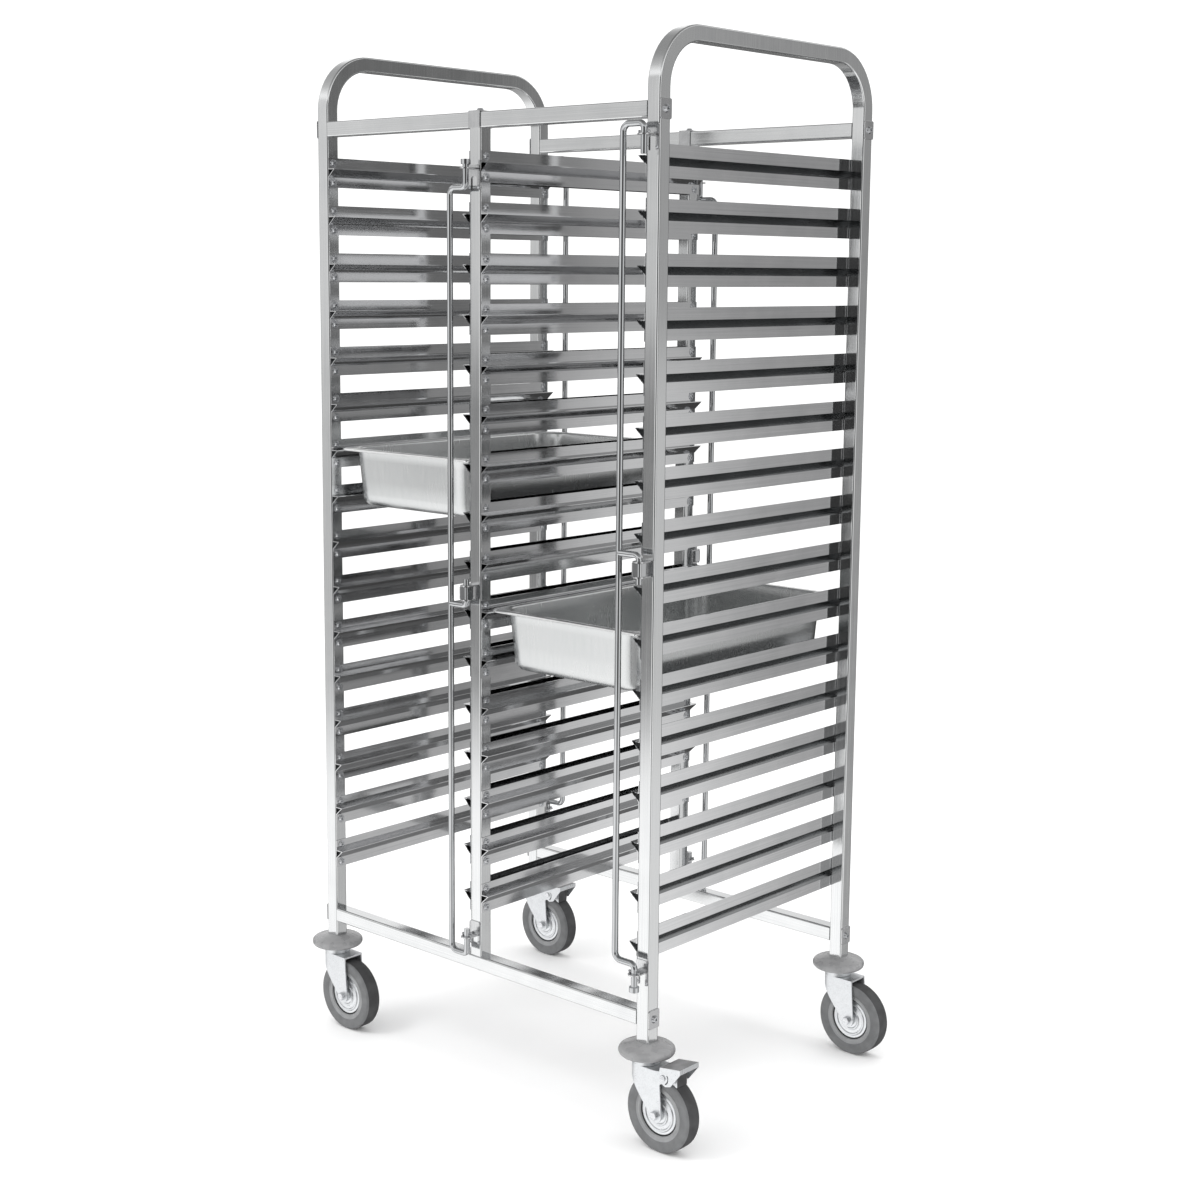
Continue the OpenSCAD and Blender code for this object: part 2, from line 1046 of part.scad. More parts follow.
// Brake pedal: a tread plate between two cheeks, and a shoe over the tyre
module pedal() {
  cheek_in = leg_in + leg_t + cheek_gap;
  outer_y = cheek_in + cheek_t;
  plate_t = 2;
  difference() {
    translate([pedal_pivot[0], 0, pedal_pivot[1]]) {
      for (sy = [-1, 1])
        translate([0, sy * (cheek_in + cheek_t / 2), 0])
          rotate([90, 0, 0])
            linear_extrude(cheek_t, center = true)
              cheek_side();
      rotate([90, 0, 0])
        linear_extrude(2 * outer_y, center = true)
          polygon([
            [-6, 16 - plate_t], [-6, 16], [34, 22], [34, 14], [34 - plate_t, 14],
            [34 - plate_t, 22 - plate_t],
          ]);
      translate([6, -12, -14])
        cube([14, 24, 31]);
    }
    translate([trail, 0, axle_z])
      rotate([90, 0, 0])
        cylinder(r = axle_z + tyre_gap, h = tyre_w + 2, center = true);
  }
}

module front_right_pedal() {
  color("lightgray") placed()
    corner(1, -1)
      pedal();
}

module rear_left_pedal() {
  color("lightgray") placed()
    corner(-1, 1)
      pedal();
}

module pedal_pin() {
  reach = leg_in + leg_t + cheek_gap + cheek_t;
  head_h = 1.5;
  translate([pedal_pivot[0], 0, pedal_pivot[1]])
    rotate([90, 0, 0]) {
      cylinder(r = pedal_pin_r, h = 2 * reach, center = true);
      for (s = [-1, 1])
        translate([0, 0, s * (reach + head_h / 2)])
          cylinder(r = pedal_pin_r + 2, h = head_h, center = true);
    }
}

module front_right_pedal_pin() {
  color("lightgray") placed()
    corner(1, -1)
      pedal_pin();
}

module rear_left_pedal_pin() {
  color("lightgray") placed()
    corner(-1, 1)
      pedal_pin();
}

// Solid shape of a pan's bowl, shrunk by inset. The inner one that is cut away
// stands 1 mm over the rim, so that it opens the top cleanly.
module pan_bowl(inset) {
  rim_inset = 11.5;
  top_r = 30;
  low_r = 24;
  taper = 8;
  foot_r = 10;
  top_z = inset > 0 ? 1 : 0;
  l = pan_l - 2 * rim_inset - 2 * inset;
  w = pan_w - 2 * rim_inset - 2 * inset;
  hull() {
    translate([0, 0, top_z])
      linear_extrude(0.01)
        rounded_rect(w, l, top_r, $fn = 32);
    translate([0, 0, -pan_h + inset + foot_r])
      linear_extrude(0.01)
        rounded_rect(w - 2 * taper, l - 2 * taper, low_r, $fn = 32);
    translate([0, 0, -pan_h + inset])
      linear_extrude(0.01)
        rounded_rect(w - 2 * taper - foot_r, l - 2 * taper - foot_r, low_r - 5, $fn = 32);
  }
}

// Pan with a flat rim whose edge is turned down; its rim rests at z = 0
module pan() {
  wall = 0.8;
  rim_t = 1;
  rim_r = 16;
  edge_t = 1.5;
  edge_h = 5;
  translate([0, 0, edge_h])
    difference() {
      union() {
        pan_bowl(0);
        translate([0, 0, -rim_t])
          linear_extrude(rim_t)
            rounded_rect(pan_w, pan_l, rim_r);
        translate([0, 0, -edge_h])
          linear_extrude(edge_h)
            difference() {
              rounded_rect(pan_w, pan_l, rim_r);
              rounded_rect(pan_w - 2 * edge_t, pan_l - 2 * edge_t, rim_r - edge_t);
            }
      }
      pan_bowl(wall);
    }
}

module pan_at(side, level) {
  translate([side * bay_x, 0, low_ledge_z + (levels - level) * pitch])
    pan();
}

module left_pan() {
  color("darkgray") placed()
    pan_at(-1, left_pan_level);
}

module right_pan() {
  color("darkgray") placed()
    pan_at(1, right_pan_level);
}

right_hoop();
left_hoop();
front_centre_post();
rear_centre_post();
front_top_rail();
rear_top_rail();
front_bottom_rail();
rear_bottom_rail();
corner_saddles();
centre_saddles();
frame_bolts();
tube_plugs();
left_outer_runners();
left_centre_runners();
right_centre_runners();
right_outer_runners();
left_outer_screws();
left_centre_screws();
right_centre_screws();
right_outer_screws();
front_right_brackets();
front_centre_brackets();
rear_left_brackets();
rear_centre_brackets();
bracket_rivets();
front_right_bar();
front_centre_bar();
rear_left_bar();
rear_centre_bar();
front_right_bar_fittings();
front_centre_bar_fittings();
rear_left_bar_fittings();
rear_centre_bar_fittings();
castor_stems();
bumpers();
swivel_races();
front_right_fork();
front_left_fork();
rear_right_fork();
rear_left_fork();
front_right_axle();
front_left_axle();
rear_right_axle();
rear_left_axle();
front_right_hub();
front_left_hub();
rear_right_hub();
rear_left_hub();
front_right_tyre();
front_left_tyre();
rear_right_tyre();
rear_left_tyre();
front_right_pedal();
rear_left_pedal();
front_right_pedal_pin();
rear_left_pedal_pin();
left_pan();
right_pan();
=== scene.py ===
"""Finish work for a two-bay pan rack on castors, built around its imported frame."""

import json
import math

import bmesh
import bpy
from mathutils import Matrix, Vector


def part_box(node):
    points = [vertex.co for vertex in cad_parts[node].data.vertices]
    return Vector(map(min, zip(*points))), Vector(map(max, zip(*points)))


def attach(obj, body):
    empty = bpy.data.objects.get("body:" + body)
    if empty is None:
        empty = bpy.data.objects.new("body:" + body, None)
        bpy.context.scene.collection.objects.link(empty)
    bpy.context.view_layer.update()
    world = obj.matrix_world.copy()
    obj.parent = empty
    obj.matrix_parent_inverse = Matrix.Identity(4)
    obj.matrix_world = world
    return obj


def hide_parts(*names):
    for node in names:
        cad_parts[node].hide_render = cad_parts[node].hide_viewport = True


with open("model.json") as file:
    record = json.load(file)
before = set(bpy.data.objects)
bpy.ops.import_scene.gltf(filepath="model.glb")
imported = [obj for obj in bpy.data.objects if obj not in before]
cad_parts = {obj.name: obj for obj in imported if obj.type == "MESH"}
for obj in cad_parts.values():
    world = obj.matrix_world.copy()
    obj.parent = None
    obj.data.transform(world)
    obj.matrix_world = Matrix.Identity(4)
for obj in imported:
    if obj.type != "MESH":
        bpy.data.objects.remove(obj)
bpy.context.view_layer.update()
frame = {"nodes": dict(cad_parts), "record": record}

MM = 0.001
record = frame["record"]
BODY_OF = {
    node: body
    for body, nodes in record["behaviour"]["bodies"].items()
    for node in nodes
}
SLOT_OF = {part["node"]: part["material_slot"] for part in record["subparts"]}
CORNERS = ("front_right", "front_left", "rear_right", "rear_left")
GUARDS = ("front_right", "front_centre", "rear_left", "rear_centre")
LADDERS = ("left_outer", "left_centre", "right_centre", "right_outer")

# Driving sizes, in millimetres
WHEEL_R = 62.5
TYRE_HALF_W = 15
BEAD_R = 35
BUMPER_R = 45
BUMPER_Z = (148, 168)
HANDLE_STARTS_Z = 1640
STEM_R = 24
PAN_SHEET = 0.8
PAN_EDGE_DROP = 5

# Radii that the finish gives to edges, in millimetres
ROUND_ALREADY = 0
PLATE_EDGE_R = 0.5
SCREW_EDGE_R = 0.3
PIN_EDGE_R = 0.4
RIVET_EDGE_R = 0.5
BOLT_EDGE_R = 0.6
CASTOR_EDGE_R = 0.7
CLIP_EDGE_R = 0.8

# A face counts as level when its normal's height is over this
LEVEL = 0.97


# ---------------------------------------------------------------- materials


def linear(code):
    """An sRGB hex colour as a linear RGBA tuple."""

    def channel(value):
        value = value / 255
        return value / 12.92 if value <= 0.04045 else ((value + 0.055) / 1.055) ** 2.4

    return tuple(channel(int(code[i : i + 2], 16)) for i in (0, 2, 4)) + (1.0,)


def add(tree, kind, inputs=None, **settings):
    """Adds one node with its settings, its values and its links."""
    node = tree.nodes.new(kind)
    for key, value in settings.items():
        setattr(node, key, value)
    for key, value in (inputs or {}).items():
        if isinstance(value, bpy.types.NodeSocket):
            tree.links.new(value, node.inputs[key])
        else:
            node.inputs[key].default_value = value
    return node


def ramp(tree, factor, stops):
    """Colour ramp through (place, hex colour) stops."""
    node = add(tree, "ShaderNodeValToRGB", {"Fac": factor})
    points = node.color_ramp.elements
    while len(points) < len(stops):
        points.new(0.5)
    for point, (place, code) in zip(points, stops):
        point.position = place
        point.color = linear(code)
    return node.outputs["Color"]


def spread(tree, value, low, high):
    """Maps a noise value from its usual 0.3 to 0.7 onto low to high."""
    inputs = {"Value": value, "From Min": 0.3, "From Max": 0.7, "To Min": low, "To Max": high}
    return add(tree, "ShaderNodeMapRange", inputs).outputs["Result"]


def noise(tree, size_mm, stretch=(1, 1, 1), detail=3.0):
    """Noise with features size_mm across, drawn out along an axis by stretch."""
    place = add(tree, "ShaderNodeTexCoord").outputs["Object"]
    scale = tuple(1 / (size_mm * MM * s) for s in stretch)
    mapped = add(tree, "ShaderNodeMapping", {"Vector": place, "Scale": scale})
    inputs = {"Vector": mapped.outputs["Vector"], "Scale": 1.0, "Detail": detail}
    return add(tree, "ShaderNodeTexNoise", inputs).outputs["Fac"]


def new_material(name):
    """An empty material: its shader wired to its output."""
    material = bpy.data.materials.new(name)
    material.use_nodes = True
    tree = material.node_tree
    tree.nodes.clear()
    shader = add(tree, "ShaderNodeBsdfPrincipled")
    output = add(tree, "ShaderNodeOutputMaterial")
    tree.links.new(shader.outputs["BSDF"], output.inputs["Surface"])
    return material, tree, shader


def relief(tree, shader, height, depth_mm, strength):
    """Bump of a real depth on a shader."""
    inputs = {"Height": height, "Distance": depth_mm * MM, "Strength": strength}
    bump = add(tree, "ShaderNodeBump", inputs)
    tree.links.new(bump.outputs["Normal"], shader.inputs["Normal"])


GRAIN = {"x": (140, 1, 1), "y": (1, 140, 1), "z": (1, 1, 140)}


def steel(name, grain, dark, light, rough, line_mm=1.6, depth_mm=0.02, cloud_mm=55):
    """Rolled stainless sheet or tube: a metal whose polishing lines run along
    one axis, with soft clouds where it has been wiped and handled. The real
    lines are about 0.1 mm apart, so they are drawn wider to show at all."""
    material, tree, shader = new_material(name)
    lines = noise(tree, line_mm, GRAIN[grain], 2.0)
    clouds = noise(tree, cloud_mm, detail=4.0)
    mixed = add(tree, "ShaderNodeMix", {"Factor": 0.45, "A": lines, "B": clouds})
    colour = ramp(tree, mixed.outputs["Result"], [(0.32, dark), (0.68, light)])
    tree.links.new(colour, shader.inputs["Base Color"])
    roughness = spread(tree, mixed.outputs["Result"], *rough)
    tree.links.new(roughness, shader.inputs["Roughness"])
    shader.inputs["Metallic"].default_value = 1.0
    relief(tree, shader, lines, depth_mm, 0.25)
    return material


def tube_steel(grain):
    """Welded stainless tube, polished to a bright satin along its length."""
    return steel(f"polished_tube_{grain}", grain, "D4D5D6", "E3E4E4", (0.08, 0.15), 1.6, 0.006)


def runner_steel():
    """Cold-rolled stainless strip, left bright: clear reflections that waver
    a little along the strip."""
    return steel("bright_rolled_strip", "y", "CECFD0", "DEDEDF", (0.05, 0.1), 1.8, 0.005)


def fold_steel_painted_shade():
    """The same strip inside its fold, where no polishing wheel reaches: duller,
    and drawn darker grey as painted shade."""
    return steel("fold_painted_shade", "y", "A3A5A6", "B3B4B5", (0.16, 0.28), 1.8, 0.01)


def rod_steel():
    """Drawn rod, mirror polished: the clearest reflections on the rack."""
    return steel("mirror_polished_rod", "z", "B6B8BA", "CCCDCE", (0.04, 0.09), 1.2, 0.004)


def plate_steel():
    """Laser-cut plate, tumbled and polished, with slightly dull faces."""
    return steel("tumbled_plate", "z", "C1C2C3", "DADADB", (0.14, 0.26), 1.4, 0.012, 14)


def fastener_steel():
    """Cold-headed screws and bolts, bright with a faint draw of the die."""
    return steel("bright_headed_fastener", "x", "B9BBBE", "E6E7E9", (0.10, 0.22), 0.8, 0.01, 7)


def plug_steel():
    """Turned steel plug, hidden in the tubes, with oily machining marks."""
    return steel("oily_turned_plug", "x", "6E7074", "909296", (0.3, 0.45), 1.0, 0.03, 9)


def pan_steel():
    """Deep-drawn stainless, satin on the walls from the press, with faint
    drawing streaks down its sides."""
    return steel("deep_drawn_satin_sheet", "z", "CED0D0", "D5D6D6", (0.25, 0.28), 3.0, 0.0006, 90)


def rim_steel_painted_highlight():
    """The pan's rim where the edge is wrapped over, smoother than the bowl, and
    painted paler as a highlight: a bright line round the satin bowl."""
    return steel("pan_rim_painted_highlight", "y", "E6E7E7", "F4F4F4", (0.12, 0.18), 3.0, 0.0006, 60)


def zinc_plate():
    """Pressed steel with bright zinc plating: a cool white metal, softly
    mottled by its crystals, which are drawn about 3 mm across."""
    material, tree, shader = new_material("bright_zinc_plate")
    place = add(tree, "ShaderNodeTexCoord").outputs["Object"]
    grains = add(tree, "ShaderNodeTexVoronoi", {"Vector": place, "Scale": 1 / (3 * MM)})
    clouds = noise(tree, 12, detail=4.0)
    mixed = add(
        tree,
        "ShaderNodeMix",
        {"Factor": 0.7, "A": grains.outputs["Distance"], "B": clouds},
    )
    colour = ramp(tree, mixed.outputs["Result"], [(0.2, "CED0D2"), (0.65, "E4E6E8")])
    tree.links.new(colour, shader.inputs["Base Color"])
    roughness = spread(tree, mixed.outputs["Result"], 0.26, 0.4)
    tree.links.new(roughness, shader.inputs["Roughness"])
    shader.inputs["Metallic"].default_value = 0.9
    relief(tree, shader, clouds, 0.01, 0.3)
    return material


def rubber(name, dark, light, rough, grit_mm, depth_mm, skin=0.0):
    """Moulded rubber: a soft sheen broken by fine grit, with dusty clouds, and
    the glossy skin that a polished mould leaves, from 0 to 1."""
    material, tree, shader = new_material(name)
    grit = noise(tree, grit_mm, detail=2.0)
    clouds = noise(tree, 16, detail=5.0)
    colour = ramp(tree, clouds, [(0.35, dark), (0.65, light)])
    tree.links.new(colour, shader.inputs["Base Color"])
    tree.links.new(spread(tree, clouds, *rough), shader.inputs["Roughness"])
    shader.inputs["Specular IOR Level"].default_value = 0.4
    shader.inputs["Coat Weight"].default_value = skin
    shader.inputs["Coat Roughness"].default_value = 0.22
    relief(tree, shader, grit, depth_mm, 0.4)
    return material


STEEL_TUBE = {axis: tube_steel(axis) for axis in "xyz"}
FINISHES = {
    "tube_steel": STEEL_TUBE["z"],
    "runner_steel": runner_steel(),
    "rod_steel": rod_steel(),
    "plate_steel": plate_steel(),
    "fastener_steel": fastener_steel(),
    "plug_steel": plug_steel(),
    "pan_steel": pan_steel(),
    "zinc_plate": zinc_plate(),
    # Thermoplastic rubber bumper: mid grey, moulded smooth, softly glossy
    "bumper_rubber": rubber(
        "smooth_grey_bumper_rubber", "868687", "929293", (0.22, 0.34), 1.2, 0.02, skin=0.5
    ),
    # Non-marking grey tyre: matt, with a trace of dust on the side walls
    "tyre_rubber": rubber("non_marking_tyre_wall", "666768", "737475", (0.45, 0.6), 1.0, 0.05),
}
# Painted highlight: the pan's rim is drawn paler than its bowl
PAINTED_HIGHLIGHT_RIM_STEEL = rim_steel_painted_highlight()
# Painted shade: the steel inside the runners' folds is drawn darker grey
PAINTED_SHADE_FOLD_STEEL = fold_steel_painted_shade()
# The pedal's trodden plate, the tyre's paler bead ring, its worn tread, which also gives
# the pedal's shoe its painted shade, and painted shade on the seat between the bead and the hub
TREAD_PLATE = rubber("scuffed_grey_tread_plate", "6C6C6D", "868687", (0.4, 0.6), 0.9, 0.15)
BEAD_RUBBER = rubber("non_marking_tyre_bead", "8A8B8C", "969798", (0.4, 0.55), 1.0, 0.04)
WORN_TREAD_AND_PAINTED_SHADE_RUBBER = rubber("worn_tread_and_painted_shade", "3A3A3B", "484849", (0.55, 0.72), 1.4, 0.12)
PAINTED_SHADE_SEAT_RUBBER = rubber("painted_shade_tyre_seat", "2B2B2C", "3A3A3B", (0.6, 0.75), 1.0, 0.05)


# ------------------------------------------------------------ making pieces


def finished(name, bm, body, slot, materials=None, replaced=()):
    """Turns a bmesh into a piece that rides on a body and has its finish."""
    mesh = bpy.data.meshes.new(name)
    bm.to_mesh(mesh)
    bm.free()
    piece = bpy.data.objects.new(name, mesh)
    bpy.context.scene.collection.objects.link(piece)
    for material in materials or [FINISHES[slot]]:
        mesh.materials.append(material)
    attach(piece, body)
    if replaced:
        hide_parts(*replaced)
    return piece


def soften(piece, radius_mm):
    """Rounds the piece's sharp edges and keeps its flats flat."""
    if radius_mm:
        bevel = piece.modifiers.new("edge_round", "BEVEL")
        bevel.width = radius_mm * MM
        bevel.segments = 2
        bevel.limit_method = "ANGLE"
        bevel.angle_limit = math.radians(40)
        bevel.use_clamp_overlap = True
    flats = piece.modifiers.new("flat_faces", "WEIGHTED_NORMAL")
    flats.weight = 100
    flats.keep_sharp = True


def smooth_shade(bm, angle=35):
    """Smooth shading that stops at edges sharper than the angle."""
    limit = math.radians(angle)
    for face in bm.faces:
        face.smooth = True
    for edge in bm.edges:
        edge.smooth = edge.is_manifold and edge.calc_face_angle(0.0) < limit


def from_cad(node):
    """A clean copy of a CAD node: merged, with its flat faces made whole."""
    bm = bmesh.new()
    bm.from_mesh(frame["nodes"][node].data)
    bmesh.ops.remove_doubles(bm, verts=bm.verts, dist=0.002 * MM)
    bmesh.ops.dissolve_limit(
        bm,
        angle_limit=math.radians(0.4),
        use_dissolve_boundaries=False,
        verts=bm.verts,
        edges=bm.edges,
        delimit={"NORMAL"},
    )
    return bm


def refined(node, radius_mm, materials=None, pick=None):
    """Stands a clean copy of a CAD node in its place, with its edges rounded, or
    only its flats kept flat at 0, or its sheared edges left crisp at None."""
    bm = from_cad(node)
    smooth_shade(bm)
    if pick:
        bm.normal_update()
        for face in bm.faces:
            face.material_index = pick(face)
    slot = SLOT_OF[node]
    piece = finished(f"{node}_finish", bm, BODY_OF[node], slot, materials, (node,))
    if radius_mm is not None:
        soften(piece, radius_mm)


def turned(name, outline, centre, axis, body, slot, materials=None, steps=96, replaced=()):
    """Spins a closed outline of (radius, along, material) points round y or z."""
    bm = bmesh.new()
    across = Vector((1, 0, 0))
    along = {"y": Vector((0, 1, 0)), "z": Vector((0, 0, 1))}[axis]
    middle = Vector(centre)
    verts = [bm.verts.new(middle + (across * r + along * a) * MM) for r, a, _ in outline]
    edges = [bm.edges.new(pair) for pair in zip(verts, verts[1:] + verts[:1])]
    bmesh.ops.spin(
        bm,
        geom=verts + edges,
        cent=middle,
        axis=along,
        angle=math.tau,
        steps=steps,
        use_merge=True,
    )
    bmesh.ops.remove_doubles(bm, verts=bm.verts, dist=0.001 * MM)
    bands = list(zip(outline, outline[1:] + outline[:1]))
    for face in bm.faces:
        face.material_index = band_of(face, bands, middle, along)
    bmesh.ops.recalc_face_normals(bm, faces=bm.faces)
    smooth_shade(bm, 28)
    return finished(name, bm, body, slot, materials, replaced)


def band_of(face, bands, middle, along):
    """The material of the outline's stretch that a spun face came from."""
    here = face.calc_center_median() - middle
    height = here.dot(along) / MM
    radius = (here - along * here.dot(along)).length / MM

    def distance(band):
        (r1, a1, _), (r2, a2, _) = band
        line = Vector((r2 - r1, a2 - a1))
        to_point = Vector((radius - r1, height - a1))
        share = max(0.0, min(1.0, to_point.dot(line) / max(line.length_squared, 1e-9)))
        return (to_point - line * share).length

    return min(bands, key=distance)[0][2]


def arc(centre, radius, start, end, steps, band=0):
    """Outline points along a circular arc, angles in degrees from +radius."""
    points = []
    for i in range(steps + 1):
        angle = math.radians(start + (end - start) * i / steps)
        r = centre[0] + radius * math.cos(angle)
        points.append((r, centre[1] + radius * math.sin(angle), band))
    return points


# -------------------------------------------------------------------- frame


def hoop_grain(face):
    """Index of the polishing direction: the handle's runs front to back."""
    return 1 if face.calc_center_median().z > HANDLE_STARTS_Z * MM else 0


def make_frame():
    """The hoops, posts and rails, and the saddles and bolts that join them."""
    hoops = [STEEL_TUBE["z"], STEEL_TUBE["y"]]
    for side in ("right", "left"):
        refined(f"{side}_hoop", ROUND_ALREADY, hoops, hoop_grain)
    for end in ("front", "rear"):
        refined(f"{end}_centre_post", ROUND_ALREADY, [STEEL_TUBE["z"]])
        for level in ("top", "bottom"):
            refined(f"{end}_{level}_rail", ROUND_ALREADY, [STEEL_TUBE["x"]])
    refined("corner_saddles", PLATE_EDGE_R)
    refined("centre_saddles", PLATE_EDGE_R)
    refined("frame_bolts", BOLT_EDGE_R)
    refined("tube_plugs", ROUND_ALREADY)


def painted_shade_fold_side(face):
    """Index 1, the painted shade, inside a runner's fold: under its ledge and behind its slope.
    """
    up = face.normal.z
    return 1 if up < -LEVEL or 0.3 < up < LEVEL else 0


def make_runners():
    """The four ladders of folded runners and their screws."""
    for ladder in LADDERS:
        # Faces inside each fold take the darker steel as painted shade
        refined(f"{ladder}_runners", None, [FINISHES["runner_steel"], PAINTED_SHADE_FOLD_STEEL], painted_shade_fold_side)
        refined(f"{ladder}_screws", SCREW_EDGE_R)


def make_guards():
    """The four swinging bars, their clip blocks and their brackets."""
    for guard in GUARDS:
        refined(f"{guard}_bar", ROUND_ALREADY)
        refined(f"{guard}_bar_fittings", CLIP_EDGE_R)
        refined(f"{guard}_brackets", PLATE_EDGE_R)
    refined("bracket_rivets", RIVET_EDGE_R)


# ------------------------------------------------------------------ castors


def swivel_line(corner):
    """Where the castor's swivel axis meets the floor, from the four stems' box."""
    x = -1 if corner.endswith("left") else 1
    y = -1 if corner.startswith("front") else 1
    low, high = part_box("castor_stems")
    half = (high.y - low.y) / 2
    across = high.x - STEM_R * MM if x > 0 else low.x + STEM_R * MM
    return Vector((across, y * (half - STEM_R * MM), 0))


def tyre_outline():
    """Tyre section, from the seat out over both walls and the tread. Bands:
    0 wall, 1 pale bead ring, 2 tread, 3 painted shade on the line inside the bead."""
    wall, bead, tread, seat = 0, 1, 2, 3
    side = [
        (BEAD_R, -9, seat),
        (BEAD_R + 1.2, -11, bead),
        (BEAD_R + 2.5, -13.2, bead),
        (BEAD_R + 7.5, -12.2, bead),
        (BEAD_R + 9.5, -13.6, wall),
        (BEAD_R + 13, -TYRE_HALF_W + 0.3, wall),
        (WHEEL_R - 8, -TYRE_HALF_W, wall),
    ]
    shoulder = arc((WHEEL_R - 4.5, -TYRE_HALF_W + 4.5), 4.5, -90, -20, 6, wall)
    crown = [(WHEEL_R - 0.1, -8, tread), (WHEEL_R, 0, tread), (WHEEL_R - 0.1, 8, tread)]
    half = side + shoulder
    far_bands = [wall, *(band for _, _, band in reversed(half[:-1])), seat]
    far = [(r, -a, band) for (r, a, _), band in zip(reversed(half), far_bands[1:])]
    half[-1] = (*half[-1][:2], tread)
    return half + crown + far


def hub_outline():
    """Pressed hub: a boss, a dished web with two raised rings and a rim."""
    steps = [
        (4.05, -17.5), (9.5, -17.5), (10.5, -16.5), (11, -13), (15, -12),
        (16.5, -13), (18.5, -13), (20, -11.6), (25, -11), (26.5, -12.2),
        (28.5, -12.2), (30, -10.6), (BEAD_R - 1.5, -10.2), (BEAD_R - 0.4, -9),
    ]
    front = [(r, a, 0) for r, a in steps]
    return front + [(r, -a, 0) for r, a in reversed(steps)]


def bumper_outline():
    """Lens-shaped bumper with a full round rim, open for the kingpin."""
    low, high = BUMPER_Z
    rim_r = 7.0
    kingpin_r = 6.1
    rim = (BUMPER_R - rim_r, low + rim_r)
    under = [(kingpin_r, low, 0), (BUMPER_R - rim_r - 6, low, 0)]
    edge = arc(rim, rim_r, -90, 68, 14)
    dome = ((36.5, low + 14.6), (31, low + 16.6), (25, low + 18.4), (20, high - 0.4))
    crown = [(r, z, 0) for r, z in dome]
    top = [(17, high, 0), (kingpin_r, high, 0)]
    return under + edge + crown + top


def make_castor(corner):
    """One castor: its tyre, hub and bumper made new, its fork and axle refined."""
    line = swivel_line(corner)
    low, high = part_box(f"{corner}_tyre")
    axle = (low + high) / 2
    turned(
        f"{corner}_tyre_rubber",
        tyre_outline(),
        axle,
        "y",
        BODY_OF[f"{corner}_tyre"],
        "tyre_rubber",
        # Band 3 is painted shade where the tyre meets the hub
        [FINISHES["tyre_rubber"], BEAD_RUBBER, WORN_TREAD_AND_PAINTED_SHADE_RUBBER, PAINTED_SHADE_SEAT_RUBBER],
        replaced=(f"{corner}_tyre",),
    )
    turned(
        f"{corner}_pressed_hub",
        hub_outline(),
        axle,
        "y",
        BODY_OF[f"{corner}_hub"],
        "zinc_plate",
        replaced=(f"{corner}_hub",),
    )
    turned(
        f"{corner}_bumper_disc",
        bumper_outline(),
        line,
        "z",
        BODY_OF["bumpers"],
        "bumper_rubber",
    )
    refined(f"{corner}_fork", CASTOR_EDGE_R)
    refined(f"{corner}_axle", BOLT_EDGE_R)


def pedal_faces(node):
    """Picks a pedal face's finish: its upper plate is grey where it is trodden,
    and the shoe between the cheeks is painted dark as shade."""
    low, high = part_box(node)
    middle = (low.y + high.y) / 2
    cheek_in = 20 * MM
    lip = 4 * MM

    def pick(face):
        if face.normal.z > LEVEL:
            return 1
        here = face.calc_center_median()
        between = abs(here.y - middle) < cheek_in and here.x < high.x - lip
        # Painted shade: the shoe between the cheeks, short of the lip, is drawn dark
        return 2 if between and abs(face.normal.y) < 0.9 else 0

    return pick


def make_castors():
    """Four castors, the parts that they share, and the two pedals."""
    for corner in CORNERS:
        make_castor(corner)
    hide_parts("bumpers")
    refined("castor_stems", RIVET_EDGE_R)
    refined("swivel_races", PIN_EDGE_R)
    for corner in ("front_right", "rear_left"):
        # Finish 2 paints shade on the pedal's shoe
        finishes = [FINISHES["zinc_plate"], TREAD_PLATE, WORN_TREAD_AND_PAINTED_SHADE_RUBBER]
        node = f"{corner}_pedal"
        refined(node, BOLT_EDGE_R, finishes, pedal_faces(node))
        refined(f"{node}_pin", PIN_EDGE_R)


# --------------------------------------------------------------------- pans


CORNER_STEPS = 10
PAN_RIM_RINGS = 8


def rounded_points(centre, width, length, radius, height):
    """Points round a rectangle with rounded corners, the same count each time."""
    points = []
    for i in range(4 * CORNER_STEPS):
        corner, step = divmod(i, CORNER_STEPS)
        angle = math.radians(90 * (corner + step / (CORNER_STEPS - 1)))
        side_x = 1 if corner in (0, 3) else -1
        side_y = 1 if corner in (0, 1) else -1
        x = side_x * (width / 2 - radius) + radius * math.cos(angle)
        y = side_y * (length / 2 - radius) + radius * math.sin(angle)
        points.append(centre + Vector((x, y, height)) * MM)
    return points


def drawn_shell(bm, loops, rim_rings):
    """Extrudes a ring of edges through each loop of points and closes the last.
    The first rings are the rim, in finish 1, and the rest the bowl, in finish 0."""
    verts = bmesh.ops.create_circle(bm, segments=len(loops[0]), radius=1.0)["verts"]
    for vert, point in zip(verts, loops[0]):
        vert.co = point
    edges = list({edge for vert in verts for edge in vert.link_edges})
    for ring, (before, points) in enumerate(zip(loops, loops[1:])):
        made = bmesh.ops.extrude_edge_only(bm, edges=edges)["geom"]
        for face in (item for item in made if isinstance(item, bmesh.types.BMFace)):
            face.material_index = 1 if ring < rim_rings else 0
        verts = {item for item in made if isinstance(item, bmesh.types.BMVert)}
        for vert in verts:
            nearest = min(range(len(before)), key=lambda i: (vert.co - before[i]).length)
            vert.co = points[nearest]
        made = [item for item in made if isinstance(item, bmesh.types.BMEdge)]
        edges = [edge for edge in made if set(edge.verts) <= verts]
    bmesh.ops.contextual_create(bm, geom=edges)


